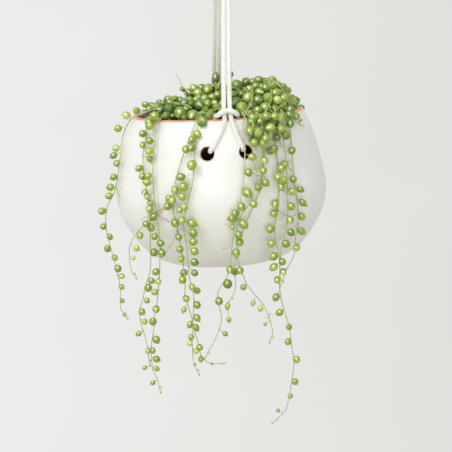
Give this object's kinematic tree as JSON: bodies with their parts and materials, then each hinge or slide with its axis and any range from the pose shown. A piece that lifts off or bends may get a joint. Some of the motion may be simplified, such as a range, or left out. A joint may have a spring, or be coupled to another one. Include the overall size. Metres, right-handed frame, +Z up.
{
  "type": "hanging potted plant",
  "caption": "String of pearls trailing from a white glazed bowl planter that hangs in two loops of cotton cord from a wooden ring, with its nursery pot inside.",
  "frame": {"origin": "the hanging point: the top of the ring's eye, where a hook carries it", "axes": "+Z up, -Y towards the front of the planter, +X to its right; the ring's plane is X-Z"},
  "size_m": [0.1894, 0.1943, 0.4245],
  "materials": {
    "glaze": "gloss white glaze over terracotta, bare terracotta at the rim's edge and foot",
    "cord": "twisted off-white cotton",
    "thread": "natural cotton thread",
    "ring_wood": "satin oiled beech",
    "nursery_plastic": "matte black",
    "soil": "crumbly peat and perlite",
    "roots": "fine roots in peat",
    "leaf_crown": "satin, deeper green leaves",
    "leaf_vine": "satin, lighter green leaves with a clear window"
  },
  "bodies": {
    "ring": {"hanging_ring": "ring_wood"},
    "planter": {"front_cord": "cord", "rear_cord": "cord", "front_whipping": "thread", "rear_whipping": "thread", "planter_pot": "glaze", "nursery_pot": "nursery_plastic", "potting_mix": "soil", "root_ball": "roots", "crown_tuft_front": "leaf_crown", "crown_tuft_front_right": "leaf_crown", "crown_tuft_rear_right": "leaf_crown", "crown_tuft_rear": "leaf_crown", "crown_tuft_rear_left": "leaf_crown", "crown_tuft_front_left": "leaf_crown", "vine_far_left": "leaf_vine", "vine_left_outer": "leaf_vine", "vine_left_inner": "leaf_vine", "vine_middle_left_outer": "leaf_vine", "vine_middle_left_inner": "leaf_vine", "vine_middle_right_a": "leaf_vine", "vine_middle_right_b": "leaf_vine", "vine_middle_right_c": "leaf_vine", "vine_short_right": "leaf_vine", "vine_right_a": "leaf_vine", "vine_right_b": "leaf_vine", "vine_right_c": "leaf_vine", "vine_rear_1": "leaf_vine", "vine_rear_2": "leaf_vine", "vine_rear_3": "leaf_vine", "vine_rear_4": "leaf_vine", "vine_rear_5": "leaf_vine", "vine_rear_6": "leaf_vine"}
  },
  "joints": [
    {"name": "swing", "type": "hinge", "parent": "ring", "child": "planter", "pos_m": [0, 0, -0.042], "axis": [1, 0, 0], "range_deg": [-20, 20]}
  ]
}
